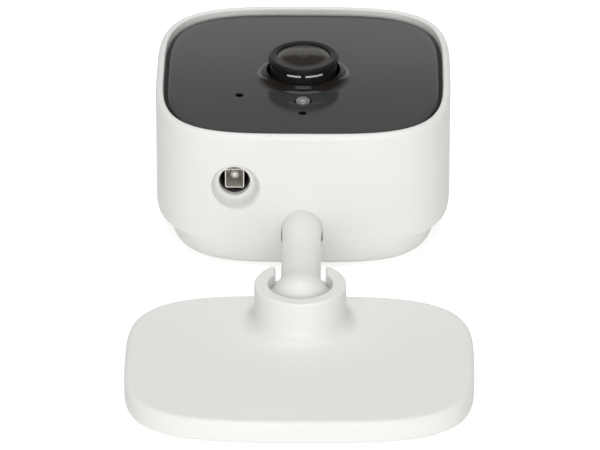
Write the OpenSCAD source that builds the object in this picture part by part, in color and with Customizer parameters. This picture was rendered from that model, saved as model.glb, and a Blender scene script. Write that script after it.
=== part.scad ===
/* [Head] */
// Width of the head across the front shell
head_w = 59.5; // [54:0.5:75]
// Height of the head, from its bottom side to its top side
head_h = 59.7; // [54:0.1:75]
// Depth of the head, from its back to the front rim
head_d = 29.6; // [28:0.1:36]
// Roundness of the head's outline: 2 is an ellipse, larger is squarer
head_squareness = 3.75; // [3.2:0.05:5]
// Wall of the front shell and the rear cover
wall = 2; // [1.6:0.1:2.4]
// Height of the rear cover, up to the seam with the front shell
seam_z = 5.8; // [5.4:0.1:7.5]
// Step from the front shell's sides in to the rear cover
rear_step = 2.9; // [2.4:0.1:3.5]
// Step from the front shell's bottom side in to the rear cover
rear_step_bottom = 0.6; // [0.3:0.1:1]

/* [Front panel] */
// Width of the rim around the panel
rim_w = 1.5; // [1.2:0.1:2]
// Depth of the panel's face below the rim
panel_recess = 1.1; // [0.8:0.1:1.6]
// Thickness of the smoked panel
panel_t = 1.3; // [1:0.1:1.6]
// Radius of the raised flare around the lens, at the panel
flare_r = 9.6; // [9:0.1:12]
// Height of the raised flare above the panel
flare_h = 1.5; // [1:0.1:2.2]

/* [Lens] */
// Radius of the lens barrel's front part
lens_r = 7.1; // [6.6:0.1:7.8]
// Radius of the opening around the front glass
lens_window_r = 5.4; // [4.8:0.1:5.8]
// Height of the barrel above the flare
lens_proud = 3.2; // [2:0.1:3.5]
// Distance of the lens axis below the middle of the head
lens_drop = 0.7; // [0:0.1:4]

/* [Neck and ball] */
// Diameter of the ball
ball_d = 11.9; // [10.5:0.1:14.4]
// Diameter of the neck
neck_d = 7.8; // [6.4:0.1:9.4]
// Distance from the ball's centre to the head's bottom side
neck_reach = 30.4; // [26:0.1:45]

/* [Base] */
// Width of the base plate
base_w = 67.6; // [60:0.2:90]
// Depth of the base plate
base_d = 51.2; // [48:0.2:75]
// Height of the base plate's top above the surface it stands on
base_h = 4.7; // [4.4:0.1:6]
// Roundness of the base's outline: 2 is an ellipse, larger is squarer
base_squareness = 3.6; // [3:0.05:5]
// Height of the collar's rim above the ball's centre
collar_rise = 4.2; // [3.6:0.1:4.8]
// Wall of the collar
collar_wall = 1.7; // [1.4:0.1:2.4]
// Distance of the ball's centre in from the base's rear edge
collar_edge = 10.8; // [10.4:0.1:24]
// Distance between the two wall-screw keyholes
keyhole_spacing = 34; // [28:1:40]

/* [Power inlet] */
// Distance of the inlet's axis to the side of the head's middle
inlet_side = 13.5; // [12:0.1:15]
// Distance of the inlet's axis behind the front rim
inlet_back = 11.7; // [11:0.1:13]
// Radius of the dish around the inlet
dish_r = 4.7; // [4.2:0.1:5.2]
// Depth of the dish
dish_depth = 3.3; // [2.5:0.1:3.6]
// Radius of the hole that the plug goes through
inlet_r = 3.1; // [2.9:0.1:3.4]

/* [Hidden] */

// Clearances
slip = 0.05;          // radial gap of a running fit
gap = 0.15;           // gap between parts that are laid in by hand
eps = 0.01;           // overshoot of a cut past a face
outline_steps = 72;   // points around a rounded-square outline

// Places in the base
ball_r = ball_d / 2;
neck_r = neck_d / 2;
neck_clear = 0.3;     // height of the folded neck above the base plate
ball_y = base_d / 2 - collar_edge;
ball_z = base_h + neck_clear + neck_r;
collar_top = ball_z + collar_rise;
pad_proud = 0.3;
base_wall = 1.8;
base_top_t = 1.4;
base_roof = base_h - base_top_t;
cover_t = 1;
cover_top = pad_proud + cover_t;
pad_groove = 0.5;
pad_inset = 2.4;
pad_band = 4;
cup_wall = 1.25;
cup_r = ball_r + slip + cup_wall;
bore_r = cup_r + slip;
collar_r = bore_r + collar_wall;
washer_t = 0.6;
cup_bottom = base_roof + washer_t;
cup_lip = 1.6;        // height of the cup's mouth above the ball's centre
mouth_r = ball_r + 0.4;
slot_w = neck_d + 2;
cup_slot_w = neck_d + 0.4;
neck_low = ball_z - neck_r;
retainer_t = 1;
retainer_r = bore_r + 3.3;
retainer_screw_r = bore_r + 1.9;
key_r = 3.3;
key_slot_r = 1.7;
key_run = 5;
key_y = -8;
cover_screw_x = base_w / 2 - 8.5;
cover_screw_ys = [-base_d / 2 + 9.5, base_d / 2 - 16.5];

// Places in the head
head_bottom = ball_y + neck_reach;
head_y = head_bottom + head_h / 2;
inner_w = head_w - 2 * wall;
inner_h = head_h - 2 * wall;
rear_w = head_w - 2 * rear_step;
rear_h = head_h - rear_step - rear_step_bottom;
rear_y = head_y + (rear_step_bottom - rear_step) / 2;
rear_floor = 1.8;
lip_h = 2;
panel_z = head_d - panel_recess;
tape_t = 0.3;
shelf_z = panel_z - panel_t - tape_t;
shelf_t = 1.2;
shelf_w = 2.5;
arch_r = neck_r + 0.5;
case_high = [head_w / 2 - 12.2, head_h / 2 - 12.2];
case_low = [head_w / 2 - 8.45, 17.85 - head_h / 2];
case_post_r = 2.3;
post_top = head_d - 9;
board_z = seam_z + lip_h + 2.2;
board_t = 1.2;
board_top = board_z + board_t;
board_h = inner_h - 11.7;
board_w = inner_w * pow(1 - pow(board_h / inner_h, head_squareness), 1 / head_squareness) - 0.8;
standoffs = [[5 - board_w / 2, 5], [board_w / 2 - 5, 12.5], [4, 3 - board_h / 2]];
lens_y = head_y - lens_drop;
lens_top = panel_z + flare_h + lens_proud;
lens_bore_r = lens_r + 0.35;
barrel_thread_r = 5.95;
holder_r = 8;
housing_w = 16;
housing_l = 23;
housing_h = 5;
housing_top = board_top + housing_h;
holder_top = 22.6;
ear_x = 13;
led_board_t = 1;
led_top = holder_top + led_board_t;
led_board_w = 40;
led_board_h = 35;
sensor_dome_r = 1.45;
dome_y = lens_y - 11.5;
status_y = dome_y - 5.2;
mic_x = -12.8;
mic_y = dome_y + 2.7;
inlet_z = head_d - inlet_back;
inlet_deep = dish_depth + 1.5;
filter_step = 6.6;
carrier_z = board_top + 2.8;
speaker_r = 9.6;
speaker_y = head_y + 8;
button_r = 1.5;
button_y = head_y + 13;
button_z = 14;
card_y = head_y + 2;
card_z = board_z - 1;

white = [0.93, 0.925, 0.91];
smoke = [0.12, 0.12, 0.13];
steel = [0.72, 0.73, 0.75];
board_green = [0.1, 0.35, 0.22];

// Outline of a rounded square, w wide and h high: a superellipse of the given squareness
function outline(w, h, squareness) = [for (i = [0:outline_steps - 1])
    let (a = 360 * i / outline_steps, c = cos(a), s = sin(a), k = 2 / squareness)
    [w / 2 * sign(c) * pow(abs(c), k), h / 2 * sign(s) * pow(abs(s), k)]];

// Radius of the ball where it is cut at height z
function ball_slice(z) = sqrt(max(0, ball_r * ball_r - (ball_z - z) * (ball_z - z)));

module rounded_plate(w, h, squareness, z0, z1) {
    translate([0, 0, z0]) linear_extrude(z1 - z0) polygon(outline(w, h, squareness));
}

// Solid through a stack of [height, inset] rings, for walls with soft edges
module soft_block(w, h, squareness, rings) {
    n = outline_steps;
    points = [for (r = rings) for (p = outline(w - 2 * r[1], h - 2 * r[1], squareness)) [p[0], p[1], r[0]]];
    sides = [for (k = [0:len(rings) - 2]) for (i = [0:n - 1])
        let (j = (i + 1) % n) [k * n + i, (k + 1) * n + i, (k + 1) * n + j, k * n + j]];
    low_cap = [for (i = [0:n - 1]) i];
    high_cap = [for (i = [n - 1:-1:0]) (len(rings) - 1) * n + i];
    polyhedron(points, concat(sides, [low_cap, high_cap]), convexity = 4);
}

// Axis helpers: a solid of revolution about +Z, laid along the neck or along another axis
module along_y() { rotate([-90, 0, 0]) children(); }
module along_x() { rotate([0, 90, 0]) children(); }
module rod(r, z0, z1) { translate([0, 0, z0]) cylinder(r = r, h = z1 - z0, $fn = 48); }
module block(w, d, z0, z1) { translate([-w / 2, -d / 2, z0]) cube([w, d, z1 - z0]); }

// Screw standing along +Z, head at the bottom, with its cross recess
module screw(head_r, head_t, shank_r, length) {
    difference() {
        union() {
            rod(head_r, 0, head_t);
            rod(shank_r, head_t - eps, head_t + length);
        }
        for (a = [0, 90]) rotate(a)
            translate([-head_r * 0.55, -0.15, -eps]) cube([head_r * 1.1, 0.3, head_t * 0.6]);
    }
}

// ---- Base ----

module at_ball() { translate([0, ball_y, 0]) children(); }

module retainer_spots() {
    at_ball() for (a = [30, 150, 270]) rotate(a) translate([retainer_screw_r, 0, 0]) children();
}

module cover_screw_spots() {
    for (x = [-cover_screw_x, cover_screw_x], y = cover_screw_ys) translate([x, y, 0]) children();
}

module keyhole_spots() {
    for (x = [-keyhole_spacing / 2, keyhole_spacing / 2]) translate([x, key_y, 0]) children();
}

// Collar that holds the ball, with the fillet that runs out into the plate
module collar_body() {
    fillet = 3;
    steps = 8;
    arc = [for (i = [0:steps]) let (a = 90 * i / steps)
        [collar_r + fillet - fillet * cos(a), base_h + fillet - fillet * sin(a)]];
    edge = 0.5;
    at_ball() rotate_extrude($fn = 96) polygon(concat(
        [[0, base_roof], [collar_r + fillet, base_roof]],
        [for (i = [steps:-1:0]) arc[i]],
        [[collar_r, collar_top - edge], [collar_r - edge * 0.3, collar_top - edge * 0.3],
            [collar_r - edge, collar_top], [0, collar_top]]));
}

module base_shell() {
    h = base_h;
    color(white) difference() {
        union() {
            difference() {
                soft_block(base_w, base_d, base_squareness,
                    [[pad_proud, 0.35], [pad_proud + 0.15, 0.12], [pad_proud + 0.5, 0], [h - 1, 0],
                        [h - 0.6, 0.08], [h - 0.3, 0.25], [h - 0.08, 0.6], [h, 1.1]]);
                rounded_plate(base_w - 2 * base_wall, base_d - 2 * base_wall, base_squareness, 0, base_roof);
            }
            intersection() {
                collar_body();
                rounded_plate(base_w - 2, base_d - 2, base_squareness, 0, collar_top + 1);
            }
            cover_screw_spots() rod(2.3, cover_top + gap, base_roof + eps);
        }
        // socket for the cup, the mouth over it and the slot that the neck folds into
        at_ball() rod(bore_r, base_roof - 1, ball_z + cup_lip + 0.2);
        at_ball() rod(mouth_r, base_roof, collar_top + 1);
        at_ball() translate([-slot_w / 2, 0, neck_low - 0.4]) cube([slot_w, base_d, collar_top]);
        retainer_spots() rod(0.85, base_roof - 1, base_h + 0.5);
        cover_screw_spots() rod(0.95, 0, base_h - 0.6);
    }
}

module bottom_cover() {
    w = base_w - 2 * (base_wall + gap);
    d = base_d - 2 * (base_wall + gap);
    color([0.86, 0.86, 0.85]) difference() {
        rounded_plate(w, d, base_squareness, pad_proud, cover_top);
        difference() {
            rounded_plate(w - 2 * pad_inset, d - 2 * pad_inset, base_squareness, 0, pad_proud + pad_groove);
            rounded_plate(w - 2 * (pad_inset + pad_band), d - 2 * (pad_inset + pad_band),
                base_squareness, -1, 5);
        }
        keyhole_spots() {
            rod(key_r, 0, 3);
            translate([0, key_run, 0]) rod(key_slot_r, 0, 3);
            translate([-key_slot_r, 0, 0]) cube([2 * key_slot_r, key_run, 3]);
        }
        cover_screw_spots() {
            rod(1.1, 0, 3);
            rod(2, 0, pad_proud + 0.6);
        }
    }
}

module anti_slip_pad() {
    w = base_w - 2 * (base_wall + gap + pad_inset) - gap;
    d = base_d - 2 * (base_wall + gap + pad_inset) - gap;
    color([0.35, 0.35, 0.36]) difference() {
        rounded_plate(w, d, base_squareness, 0, pad_proud + pad_groove);
        rounded_plate(w - 2 * pad_band + 2 * gap, d - 2 * pad_band + 2 * gap, base_squareness, -1, 5);
        cover_screw_spots() rod(2.1, -1, 5);
    }
}

module weight_plate() {
    inset = base_wall + 1;
    color(steel) difference() {
        rounded_plate(base_w - 2 * inset, base_d - 2 * inset, base_squareness,
            cover_top + 0.1, base_roof - 0.1);
        at_ball() rod(retainer_r + 0.6, 0, base_h);
        translate([-base_w / 2, ball_y, 0]) cube([base_w, base_d, base_h]);
        cover_screw_spots() rod(2.6, 0, base_h);
        keyhole_spots() {
            rod(key_r + 0.6, 0, base_h);
            translate([0, key_run, 0]) rod(key_r + 0.2, 0, base_h);
            translate([-key_r - 0.2, 0, 0]) cube([2 * key_r + 0.4, key_run, base_h]);
        }
    }
}

module cover_screws() {
    color(steel) cover_screw_spots() translate([0, 0, pad_proud + 0.1]) screw(1.8, 0.5, 0.9, 2.8);
}

module retainer_plate() {
    color(steel) difference() {
        intersection() {
            at_ball() rod(retainer_r, base_roof - retainer_t, base_roof);
            rounded_plate(base_w - 2 * (base_wall + gap), base_d - 2 * (base_wall + gap), base_squareness,
                0, base_roof);
        }
        at_ball() rod(ball_slice(base_roof) + 1.6, 0, base_h);
        retainer_spots() rod(0.9, 0, base_h);
    }
}

module retainer_screws() {
    head_t = 0.6;
    color(steel) retainer_spots() translate([0, 0, base_roof - retainer_t - head_t])
        screw(1.4, head_t, 0.8, retainer_t + base_h + 0.3 - base_roof);
}

module spring_washer() {
    color(steel) at_ball() difference() {
        rod(bore_r - 0.2, base_roof, base_roof + washer_t);
        rod(ball_slice(cup_bottom) + 1.4, 0, base_h);
    }
}

// ---- Ball joint ----

module friction_cup() {
    color([0.85, 0.85, 0.83]) at_ball() difference() {
        rod(cup_r, cup_bottom, ball_z + cup_lip);
        translate([0, 0, ball_z]) sphere(r = ball_r + slip, $fn = 96);
        translate([-cup_slot_w / 2, 0, neck_low - 0.2]) cube([cup_slot_w, base_d, collar_top]);
    }
}

flat_s = ball_r - 1.2;    // distance of the ball's flat from its centre
spigot_r = 2.4;
ball_screw_r = 1;
ball_head_r = 2;

module on_neck_axis() { translate([0, ball_y, ball_z]) along_y() children(); }

module ball() {
    color(white) on_neck_axis() difference() {
        sphere(r = ball_r, $fn = 96);
        rod(ball_r, flat_s, ball_d);
        rod(spigot_r + slip, 1, ball_d);
        rod(ball_screw_r + slip, -ball_d, ball_d);
        rod(ball_head_r + slip, -ball_d, -1.5);
    }
}

module ball_screw() {
    color(steel) on_neck_axis() translate([0, 0, -3.2]) screw(ball_head_r, 1.6, ball_screw_r, 8);
}

module neck() {
    r = neck_r;
    root = neck_reach;
    spigot_end = root + wall + 1.4;
    root_r = arch_r - 0.2;
    steps = 8;
    color(white) on_neck_axis() difference() {
        rotate_extrude($fn = 96) polygon(concat(
            [[0, 1.1], [spigot_r, 1.1], [spigot_r, flat_s + 0.05], [r - 0.4, flat_s + 0.05],
                [r, flat_s + 0.5]],
            [for (i = [0:steps]) [r + (root_r - r) * pow(i / steps, 2.2), root - 5 + 5 * i / steps]],
            [[3, root], [3, spigot_end], [0, spigot_end]]));
        rod(ball_screw_r + slip, 0, 8);
        rod(0.95, spigot_end - 7, spigot_end + 1);
    }
}

module neck_screw() {
    head_t = 1.4;
    color(steel) translate([0, head_bottom + wall + 1.4 + head_t, ball_z]) rotate([90, 0, 0])
        screw(3.6, head_t, 0.9, 6);
}

// ---- Head casing ----

module at_head() { translate([0, head_y, 0]) children(); }

module case_spots() {
    at_head() for (p = [case_high, case_low], side = [-1, 1]) translate([side * p[0], p[1], 0]) children();
}

module at_standoffs() {
    at_head() for (p = standoffs) translate([p[0], p[1], 0]) children();
}

// Ribs that tie the screw posts to the front shell's wall, clear of the boards
module post_ribs() {
    rib_t = 1.4;
    reach = 12;
    z0 = board_top + 1;
    at_head() for (side = [-1, 1]) {
        translate([side * case_high[0], case_high[1], z0]) rotate(90 - side * 45)
            translate([0, -rib_t / 2, 0]) cube([reach, rib_t, post_top - z0]);
        translate([side * case_low[0], case_low[1], z0]) rotate(90 - side * 90)
            translate([0, -rib_t / 2, 0]) cube([reach, rib_t, post_top - z0]);
    }
}

// Tongue of the rear cover around the neck's root, and the notch for it in the front shell
module arch(r, y0, y1, z0) {
    translate([0, 0, ball_z]) translate([0, y0, 0]) along_y() rod(r, 0, y1 - y0);
    translate([-r, y0, z0]) cube([2 * r, y1 - y0, ball_z - z0]);
}

module speaker_holes() {
    pitch = 2.2;
    rows = 3;
    hole_r = 0.55;
    for (j = [-rows:rows], i = [-rows:rows])
        let (x = (i + (abs(j) % 2) / 2) * pitch, y = j * pitch * sin(60))
            if (norm([x, y]) < (rows + 0.2) * pitch)
                translate([x, y, -1]) cylinder(r = hole_r, h = 4, $fn = 16);
}

module rear_cover() {
    flange_w = inner_w - 2 * gap;
    flange_h = inner_h - 2 * gap;
    cavity_w = rear_w - 2 * wall;
    cavity_h = rear_h - 2 * wall;
    color(white) difference() {
        union() {
            difference() {
                union() {
                    translate([0, rear_y, 0]) soft_block(rear_w, rear_h, head_squareness,
                        [[0, 2.6], [0.25, 1.5], [0.8, 0.7], [1.6, 0.2], [2.6, 0], [seam_z, 0]]);
                    at_head() difference() {
                        rounded_plate(flange_w, flange_h, head_squareness, seam_z - 1, seam_z + lip_h);
                        rounded_plate(rear_w - 2 * gap, flange_h + 1, head_squareness, 0, seam_z);
                    }
                }
                translate([0, rear_y, 0])
                    rounded_plate(cavity_w, cavity_h, head_squareness, rear_floor, board_top);
            }
            arch(arch_r - gap, head_bottom + 0.1, head_bottom + wall + 1.2, seam_z - 1);
            case_spots() rod(case_post_r + 0.6, rear_floor - 0.1, seam_z - 0.2);
            at_standoffs() rod(2.2, rear_floor - 0.1, board_z);
        }
        // neck hole, screw holes, speaker grille
        translate([0, head_bottom - 1, ball_z]) along_y() rod(3 + slip, 0, 8);
        case_spots() {
            rod(1.3, -1, seam_z + 2);
            rod(2.1, -1, 3.2);
        }
        at_standoffs() rod(0.85, rear_floor + 1, board_z + 1);
        translate([0, speaker_y, 0]) speaker_holes();
    }
}

module case_screws() {
    color(steel) case_spots() translate([0, 0, 1.9]) screw(1.9, 1.3, 1.1, 9);
}

module front_shell() {
    d = head_d;
    color(white) difference() {
        union() {
            difference() {
                at_head() soft_block(head_w, head_h, head_squareness,
                    [[seam_z, 0.3], [seam_z + 0.3, 0.05], [seam_z + 0.8, 0], [d - 1.2, 0],
                        [d - 0.75, 0.08], [d - 0.35, 0.3], [d - 0.1, 0.6], [d, 0.95]]);
                at_head() rounded_plate(inner_w, inner_h, head_squareness, 0, shelf_z - shelf_t);
            }
            // posts for the case screws and the boss behind the power inlet
            intersection() {
                at_head() rounded_plate(inner_w + 1, inner_h + 1, head_squareness, 0, head_d);
                union() {
                    case_spots() rod(case_post_r, seam_z, post_top);
                    post_ribs();
                    translate([-inlet_side, head_bottom + 0.5, inlet_z])
                        along_y() rod(6, 0, inlet_deep - 0.5);
                }
            }
        }
        at_head() rounded_plate(head_w - 2 * (rim_w + shelf_w), head_h - 2 * (rim_w + shelf_w),
            head_squareness, shelf_z - shelf_t - eps, head_d + 1);
        at_head() rounded_plate(head_w - 2 * rim_w, head_h - 2 * rim_w, head_squareness, shelf_z, head_d + 1);
        arch(arch_r, head_bottom - 1, head_bottom + wall + 1.4, 0);
        case_spots() rod(1.15, 0, 14);
        // dished power inlet
        translate([-inlet_side, head_bottom, inlet_z]) along_y() {
            rotate_extrude($fn = 64) polygon(concat([[0, -1], [dish_r, -1]],
                [for (i = [0:6]) let (a = 15 * i)
                    [inlet_r + 0.35 + (dish_r - inlet_r - 0.35) * cos(a), dish_depth * sin(a)]],
                [[0, dish_depth]]));
            rod(inlet_r, 0, inlet_deep + 1);
        }
        // reset button and card slot in the side
        translate([0, button_y, button_z]) along_x() {
            rod(button_r + slip, 20, 40);
            rod(button_r + 1.1, 20, inner_w / 2 - 0.35);
        }
        translate([inner_w / 2 - 2, card_y - 6, card_z - 0.6]) cube([10, 12, 1.2]);
    }
}

module front_panel() {
    w = head_w - 2 * (rim_w + gap);
    h = head_h - 2 * (rim_w + gap);
    low = panel_z - panel_t;
    steps = 6;
    top_r = lens_bore_r + 0.5;
    color(smoke) difference() {
        union() {
            at_head() soft_block(w, h, head_squareness,
                [[low, 0], [panel_z - 0.35, 0], [panel_z - 0.1, 0.12], [panel_z, 0.4]]);
            translate([0, lens_y, 0]) rotate_extrude($fn = 96) polygon(concat([[0, low], [flare_r, low]],
                [for (i = [0:steps]) let (a = 90 * i / steps)
                    [flare_r - (flare_r - top_r) * sin(a), panel_z + flare_h * (1 - cos(a))]],
                [[0, panel_z + flare_h]]));
        }
        translate([0, lens_y, 0]) rod(lens_bore_r, 0, head_d + 10);
        translate([0, dome_y, 0]) rod(sensor_dome_r + 0.2, 0, head_d + 10);
        translate([0, status_y, 0]) rod(0.75, 0, head_d + 10);
        translate([mic_x, mic_y, 0]) rod(0.75, 0, head_d + 10);
    }
}

module panel_tape() {
    color([0.1, 0.1, 0.1]) at_head() difference() {
        rounded_plate(head_w - 2 * (rim_w + gap), head_h - 2 * (rim_w + gap), head_squareness,
            shelf_z, shelf_z + tape_t);
        rounded_plate(head_w - 2 * (rim_w + shelf_w) + gap, head_h - 2 * (rim_w + shelf_w) + gap,
            head_squareness, 0, head_d);
    }
}

// ---- Lens ----

module at_lens() { translate([0, lens_y, 0]) children(); }

shoulder_z = holder_top + 2;        // where the barrel widens to its front part
thread_low = housing_top + 1;
front_seat_z = lens_top - 2.6;

module lens_barrel() {
    cap_t = 1;                  // the front ring's thickness
    cap_edge = 0.45;            // its chamfer
    neck_in_r = lens_r - 0.35;  // the barrel behind the front ring
    color([0.05, 0.05, 0.055]) at_lens() difference() {
        rotate_extrude($fn = 96) polygon([[0, thread_low], [barrel_thread_r, thread_low],
            [barrel_thread_r, shoulder_z], [neck_in_r, shoulder_z], [neck_in_r, lens_top - cap_t - 0.1],
            [lens_r, lens_top - cap_t], [lens_r, lens_top - cap_edge], [lens_r - cap_edge, lens_top],
            [0, lens_top]]);
        rotate_extrude($fn = 96) polygon([[0, front_seat_z], [lens_window_r, front_seat_z],
            [lens_window_r, lens_top - 0.1], [lens_window_r + 0.1, lens_top + eps], [0, lens_top + eps]]);
        rod(4.4, 0, lens_top);
    }
}

module front_lens() {
    r = lens_window_r - slip;
    dome = 25;
    base_z = front_seat_z;
    color([0.75, 0.7, 0.66, 0.6]) at_lens() intersection() {
        rod(r, base_z, lens_top);
        translate([0, 0, lens_top - 0.25 - dome]) sphere(r = dome, $fn = 180);
    }
}

module lens_stack(z0, z1, r) {
    intersection() {
        rod(r, z0, z1);
        translate([0, 0, (z0 + z1) / 2 - 7 + (z1 - z0) / 2]) sphere(r = 7, $fn = 64);
    }
}

lens_stack_low = thread_low + 0.6;
lens_stack_step = (front_seat_z - 0.5 - lens_stack_low) / 3;

module inner_lenses() {
    color([0.8, 0.85, 0.9, 0.5]) at_lens() for (i = [0:2])
        lens_stack(lens_stack_low + i * lens_stack_step + 1.2,
            lens_stack_low + (i + 1) * lens_stack_step, 4.35);
}

module lens_spacers() {
    color([0.08, 0.08, 0.08]) at_lens() for (i = [0:2]) difference() {
        rod(4.35, lens_stack_low + i * lens_stack_step, lens_stack_low + i * lens_stack_step + 1.15);
        rod(3.2, 0, lens_top);
    }
}

module lens_holder() {
    color([0.1, 0.1, 0.1]) at_lens() difference() {
        union() {
            block(housing_w, housing_l, housing_top, housing_top + 1);
            rod(holder_r, housing_top, holder_top + 1.5);
            for (x = [-ear_x, ear_x]) {
                translate([x, 0, 0]) rod(2.2, board_top, holder_top);
                translate([x / 2, 0, 0]) block(abs(x), 3, housing_top + eps, housing_top + 3);
            }
        }
        rod(barrel_thread_r + slip, 0, lens_top);
        for (x = [-ear_x, ear_x]) translate([x, 0, 0]) rod(0.85, holder_top - 5, lens_top);
    }
}

module ir_cut_housing() {
    color([0.14, 0.14, 0.15]) at_lens() difference() {
        block(housing_w, housing_l, board_top, housing_top);
        block(housing_w - 2, housing_l - 1.6, carrier_z - 0.1, carrier_z + 1.3);
        block(9, 9, 0, carrier_z);
        rod(3.8, 0, housing_top + 1);
    }
}

module ir_filter_carrier() {
    color([0.08, 0.08, 0.08]) at_lens() difference() {
        translate([-4.2, -3.8, carrier_z]) cube([8.4, 14.2, 1]);
        for (y = [0, filter_step]) translate([0, y, 0]) block(5.7, 5.7, carrier_z + 0.3, carrier_z + 2);
        for (y = [0, filter_step]) translate([0, y, 0]) block(4.6, 4.6, 0, carrier_z + 2);
    }
}

module ir_filter_glass() {
    color([0.85, 0.45, 0.4, 0.6]) at_lens() for (y = [0, filter_step])
        translate([0, y, 0]) block(5.6, 5.6, carrier_z + 0.3, carrier_z + 0.9);
}

module ir_cut_coil() {
    color([0.72, 0.4, 0.2]) at_lens() translate([5.7, 0, 0]) block(2.2, 10, carrier_z, carrier_z + 1.1);
}

module image_sensor() {
    color([0.2, 0.22, 0.25]) at_lens() {
        block(8.4, 7.6, board_top, board_top + 0.9);
        block(7, 6.2, board_top + 0.9, board_top + 1.4);
    }
}

// ---- Electronics ----

module main_board() {
    color(board_green) difference() {
        at_head() block(board_w, board_h, board_z, board_top);
        case_spots() rod(case_post_r + 0.6, 0, head_d);
        at_standoffs() rod(1.1, 0, head_d);
    }
}

module board_screws() {
    head_t = 1;
    color(steel) at_standoffs() translate([0, 0, board_top + head_t]) rotate([180, 0, 0])
        screw(1.7, head_t, 0.8, 5);
}

module led_board() {
    color(board_green) difference() {
        translate([0, lens_y - 2, 0]) block(led_board_w, led_board_h, holder_top, led_top);
        at_lens() rod(holder_r + 0.3, 0, head_d);
        at_lens() for (x = [-ear_x, ear_x]) translate([x, 0, 0]) rod(1.1, 0, head_d);
        case_spots() rod(case_post_r + 0.4, 0, head_d);
    }
}

module led_board_screws() {
    head_t = 0.9;
    color(steel) at_lens() for (x = [-ear_x, ear_x]) translate([x, 0, led_top + head_t])
        rotate([180, 0, 0]) screw(1.6, head_t, 0.8, 4);
}

module ir_leds() {
    color([0.85, 0.84, 0.75]) at_lens() for (x = [-13.5, 13.5], y = [-15, 9.5]) translate([x, y, 0]) {
        block(3.5, 3.5, led_top, led_top + 0.8);
        rod(1.5, led_top + 0.8, led_top + 1.3);
    }
}

module light_sensor() {
    r = sensor_dome_r;
    dome_z = panel_z + 0.25;
    color([0.9, 0.92, 0.95, 0.6]) translate([0, dome_y, 0]) {
        rod(r, led_top, dome_z);
        translate([0, 0, dome_z]) intersection() {
            sphere(r = r, $fn = 48);
            rod(r, 0, r);
        }
    }
}

module status_led() {
    color([0.9, 0.9, 0.85]) translate([0, status_y, 0]) block(1.6, 1.2, led_top, led_top + 0.6);
}

module light_pipe() {
    color([0.9, 0.93, 0.95, 0.6]) translate([0, status_y, 0]) {
        rod(0.65, led_top + 0.65, panel_z - 0.3);
        rod(1.2, led_top + 0.65, panel_z - panel_t - 0.05);
    }
}

module microphone() {
    color([0.75, 0.75, 0.72]) translate([mic_x, mic_y, 0]) difference() {
        block(3.5, 2.7, led_top, led_top + 1);
        rod(0.3, led_top + 0.5, led_top + 2);
    }
}

module mic_boot() {
    color([0.1, 0.1, 0.1]) translate([mic_x, mic_y, 0]) difference() {
        rod(1.9, led_top + 1, panel_z - panel_t);
        rod(0.6, 0, head_d);
    }
}

module board_ribbon() {
    x = led_board_w / 2 - 8;
    y = lens_y - led_board_h / 2 - 0.3;
    color([0.9, 0.88, 0.8]) translate([x, y, 0]) {
        block(6, 0.3, board_top + 1.5, holder_top - 0.1);
        block(7, 2.5, board_top, board_top + 1.5);
    }
}

module processor() {
    color([0.12, 0.12, 0.13]) translate([-8.5, head_y + 16, 0]) block(10, 8, board_top, board_top + 1);
}

module thermal_pad() {
    color([0.6, 0.7, 0.8]) translate([-8.5, head_y + 16, 0]) block(9, 7, board_top + 1, board_top + 1.8);
}

module heat_spreader() {
    color([0.65, 0.66, 0.68]) translate([-8.5, head_y + 16, 0]) {
        block(11, 9, board_top + 1.8, board_top + 2.8);
        for (x = [-4.9, -1.6, 1.6, 4.9]) translate([x, 0, 0]) block(0.8, 9, board_top + 2.8, board_top + 5.5);
    }
}

module memory_chips() {
    color([0.12, 0.12, 0.13]) {
        translate([-14, head_y + 6.5, 0]) block(5, 6, board_top, board_top + 0.9);
        translate([14, head_y - 9, 0]) block(5, 4, board_top, board_top + 0.9);
    }
}

module wifi_module() {
    color([0.75, 0.76, 0.78]) translate([5, head_y + 16, 0]) block(12, 9, board_top, board_top + 2);
}

antenna_face = inner_h / 2 - 0.75;

module antenna() {
    color([0.2, 0.2, 0.2]) translate([0, head_y + antenna_face + 0.2, 0]) block(20, 0.4, 13, 21);
}

module antenna_cable() {
    r = 0.5;
    z = board_top + 2 + r;
    y1 = head_y + antenna_face - r;
    y0 = head_y + 18;
    color([0.1, 0.1, 0.1]) {
        translate([5, y0, z]) along_y() rod(r, 0, y1 - y0);
        translate([5, y1, z]) sphere(r = r, $fn = 32);
        translate([5, y1, 0]) rod(r, z, 16);
    }
}

module speaker() {
    color([0.2, 0.2, 0.21]) translate([0, speaker_y, 0]) {
        rod(speaker_r, rear_floor + 0.5, rear_floor + 2.2);
        rod(speaker_r - 2.2, rear_floor + 2.2, rear_floor + 4.2);
    }
}

module speaker_gasket() {
    color([0.15, 0.15, 0.15]) translate([0, speaker_y, 0]) difference() {
        rod(speaker_r, rear_floor, rear_floor + 0.5);
        rod(speaker_r - 1.6, 0, 10);
    }
}

module speaker_lead() {
    color([0.75, 0.1, 0.1]) for (x = [-1, 1]) translate([x, speaker_y - speaker_r + 1.4, 0])
        rod(0.45, rear_floor + 2.2, board_z);
}

module dc_jack() {
    low = head_bottom + inlet_deep;
    height = inlet_z - board_top + 4.2;
    color([0.08, 0.08, 0.085]) difference() {
        translate([-inlet_side - 4.8, low, board_top]) cube([9.6, 9, height]);
        translate([-inlet_side, low, inlet_z]) along_y() rod(2.8, -1, 7);
    }
}

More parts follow.
